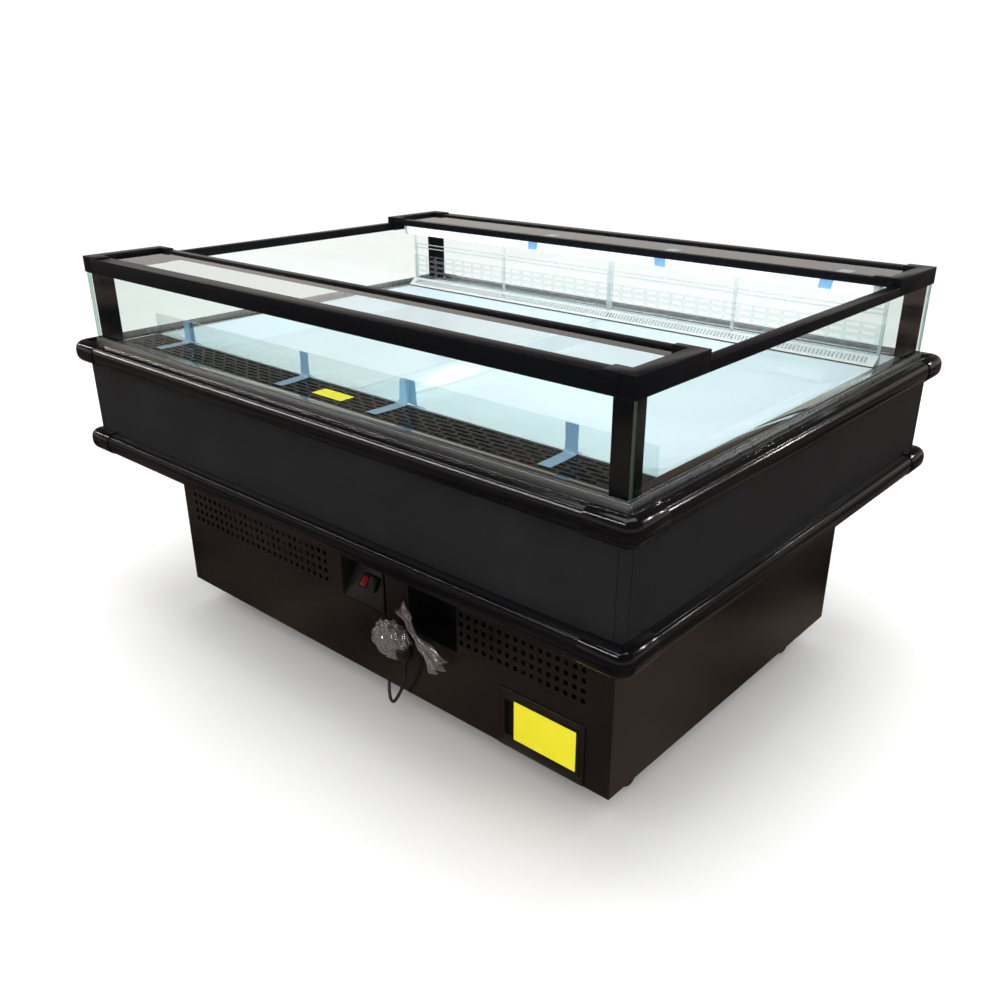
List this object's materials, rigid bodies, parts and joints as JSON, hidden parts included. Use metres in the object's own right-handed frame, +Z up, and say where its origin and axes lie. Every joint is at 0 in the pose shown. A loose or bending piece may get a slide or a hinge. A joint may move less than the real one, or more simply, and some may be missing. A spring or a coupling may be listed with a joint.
{
  "type": "chest freezer",
  "caption": "Open-top island display freezer on castors, with glass walls, front and rear glazed canopies, bumper rails, a slotted return grille, lift-out deck pans and a drain drawer.",
  "frame": {"origin": "on the floor under the middle of the cabinet", "axes": "+X along the long side, to the right when facing the side with the switch and drain drawer; -Y out of that side; +Z up"},
  "size_m": [1.557, 1.196, 0.88],
  "materials": {
    "black_paint": "glossy dark brown-black enamel",
    "charcoal_paint": "satin charcoal powder coat",
    "black_rail": "satin black anodised aluminium",
    "black_vinyl": "glossy black PVC",
    "aluminium": "satin extruded",
    "polished_steel": "mirror polished stainless",
    "clear_glass": "clear tempered glass",
    "clear_acrylic": "clear acrylic",
    "white_enamel": "glossy white enamel",
    "white_plastic": "white moulding",
    "black_plastic": "black moulding",
    "opal": "opal diffuser",
    "galvanised": "galvanised sheet",
    "wheel_rubber": "black tread",
    "foam": "rigid polyurethane foam",
    "red_plastic": "red rocker",
    "cord_rubber": "black cord sheath",
    "clear_film": "clear crumpled film",
    "copper": "copper pipe",
    "fins": "finned coil"
  },
  "bodies": {
    "cabinet": {"base_back_panel": "black_paint", "base_corner_profiles": "black_paint", "base_end_panels": "black_paint", "base_front_panel": "black_paint", "base_pan": "galvanised", "bumper_corner_caps": "black_vinyl", "bumper_rails_lower": "black_vinyl", "bumper_rails_upper": "black_vinyl", "canopy_end_blocks": "black_plastic", "canopy_glass": "clear_glass", "canopy_inner_rails": "black_rail", "canopy_outer_rails": "black_rail", "castor_plates": "galvanised", "compressor": "black_paint", "condenser_coil": "fins", "condenser_shroud": "galvanised", "control_box": "galvanised", "cord_coil": "cord_rubber", "cord_gland": "black_plastic", "cord_lead": "cord_rubber", "cord_recess": "black_plastic", "cord_tail": "cord_rubber", "corner_posts": "black_rail", "drawer_frame": "black_plastic", "evaporator_coil": "fins", "evaporator_fan_plate": "galvanised", "front_partition": "clear_acrylic", "glazing_channel": "aluminium", "led_lamp": "opal", "plug": "cord_rubber", "plug_bag": "clear_film", "rear_louvre": "white_plastic", "rear_riser": "clear_acrylic", "refrigerant_pipes": "copper", "rim_coping": "polished_steel", "riser_frame": "clear_acrylic", "side_rails": "black_rail", "switch_body": "black_plastic", "switch_pocket": "black_plastic", "tub_corner_profiles": "charcoal_paint", "tub_insulation": "foam", "tub_liner": "white_enamel", "tub_panels": "charcoal_paint", "wall_glass": "clear_glass"},
    "drawer": {"drain_drawer": "black_plastic"},
    "rocker": {"switch_rocker": "red_plastic"},
    "condenser_fan": {"condenser_fan": "black_plastic"},
    "left_evaporator_fan": {"evaporator_fan_left": "black_plastic"},
    "right_evaporator_fan": {"evaporator_fan_right": "black_plastic"},
    "left_pan": {"deck_pan_left": "white_enamel"},
    "right_pan": {"deck_pan_right": "white_enamel"},
    "grille": {"return_grille": "black_plastic"},
    "fork_front_left": {"castor_fork_front_left": "galvanised"},
    "wheel_front_left": {"castor_wheel_front_left": "wheel_rubber"},
    "fork_front_right": {"castor_fork_front_right": "galvanised"},
    "wheel_front_right": {"castor_wheel_front_right": "wheel_rubber"},
    "fork_back_left": {"castor_fork_back_left": "galvanised"},
    "wheel_back_left": {"castor_wheel_back_left": "wheel_rubber"},
    "fork_back_right": {"castor_fork_back_right": "galvanised"},
    "wheel_back_right": {"castor_wheel_back_right": "wheel_rubber"}
  },
  "joints": [
    {"name": "swivel_front_left", "type": "hinge", "parent": "cabinet", "child": "fork_front_left", "pos_m": [-0.612, -0.338, 0.065], "axis": [0, 0, 1], "continuous": true},
    {"name": "spin_front_left", "type": "hinge", "parent": "fork_front_left", "child": "wheel_front_left", "pos_m": [-0.612, -0.318, 0.025], "axis": [1, 0, 0], "continuous": true},
    {"name": "swivel_front_right", "type": "hinge", "parent": "cabinet", "child": "fork_front_right", "pos_m": [0.612, -0.338, 0.065], "axis": [0, 0, 1], "continuous": true},
    {"name": "spin_front_right", "type": "hinge", "parent": "fork_front_right", "child": "wheel_front_right", "pos_m": [0.612, -0.318, 0.025], "axis": [1, 0, 0], "continuous": true},
    {"name": "swivel_back_left", "type": "hinge", "parent": "cabinet", "child": "fork_back_left", "pos_m": [-0.612, 0.338, 0.065], "axis": [0, 0, 1], "continuous": true},
    {"name": "spin_back_left", "type": "hinge", "parent": "fork_back_left", "child": "wheel_back_left", "pos_m": [-0.612, 0.318, 0.025], "axis": [1, 0, 0], "continuous": true},
    {"name": "swivel_back_right", "type": "hinge", "parent": "cabinet", "child": "fork_back_right", "pos_m": [0.612, 0.338, 0.065], "axis": [0, 0, 1], "continuous": true},
    {"name": "spin_back_right", "type": "hinge", "parent": "fork_back_right", "child": "wheel_back_right", "pos_m": [0.612, 0.318, 0.025], "axis": [1, 0, 0], "continuous": true},
    {"name": "rocker_tilt", "type": "hinge", "parent": "cabinet", "child": "rocker", "pos_m": [0, -0.41347, 0.26309], "axis": [1, 0, 0], "range_deg": [0, 14]},
    {"name": "drawer_slide", "type": "slide", "parent": "cabinet", "child": "drawer", "axis": [0, -1, 0], "range_m": [0, 0.24]},
    {"name": "condenser_fan_spin", "type": "hinge", "parent": "cabinet", "child": "condenser_fan", "pos_m": [-0.34, -0.3427, 0.217], "axis": [0, 1, 0], "continuous": true},
    {"name": "left_evaporator_fan_spin", "type": "hinge", "parent": "cabinet", "child": "left_evaporator_fan", "pos_m": [-0.27, -0.05, 0.55], "axis": [0, 1, 0], "continuous": true},
    {"name": "right_evaporator_fan_spin", "type": "hinge", "parent": "cabinet", "child": "right_evaporator_fan", "pos_m": [0.27, -0.05, 0.55], "axis": [0, 1, 0], "continuous": true},
    {"name": "left_pan_lift", "type": "slide", "parent": "cabinet", "child": "left_pan", "axis": [0, 0, 1], "range_m": [0, 0.12]},
    {"name": "right_pan_lift", "type": "slide", "parent": "cabinet", "child": "right_pan", "axis": [0, 0, 1], "range_m": [0, 0.12]},
    {"name": "grille_lift", "type": "slide", "parent": "cabinet", "child": "grille", "axis": [0, 0, 1], "range_m": [0, 0.1]}
  ]
}
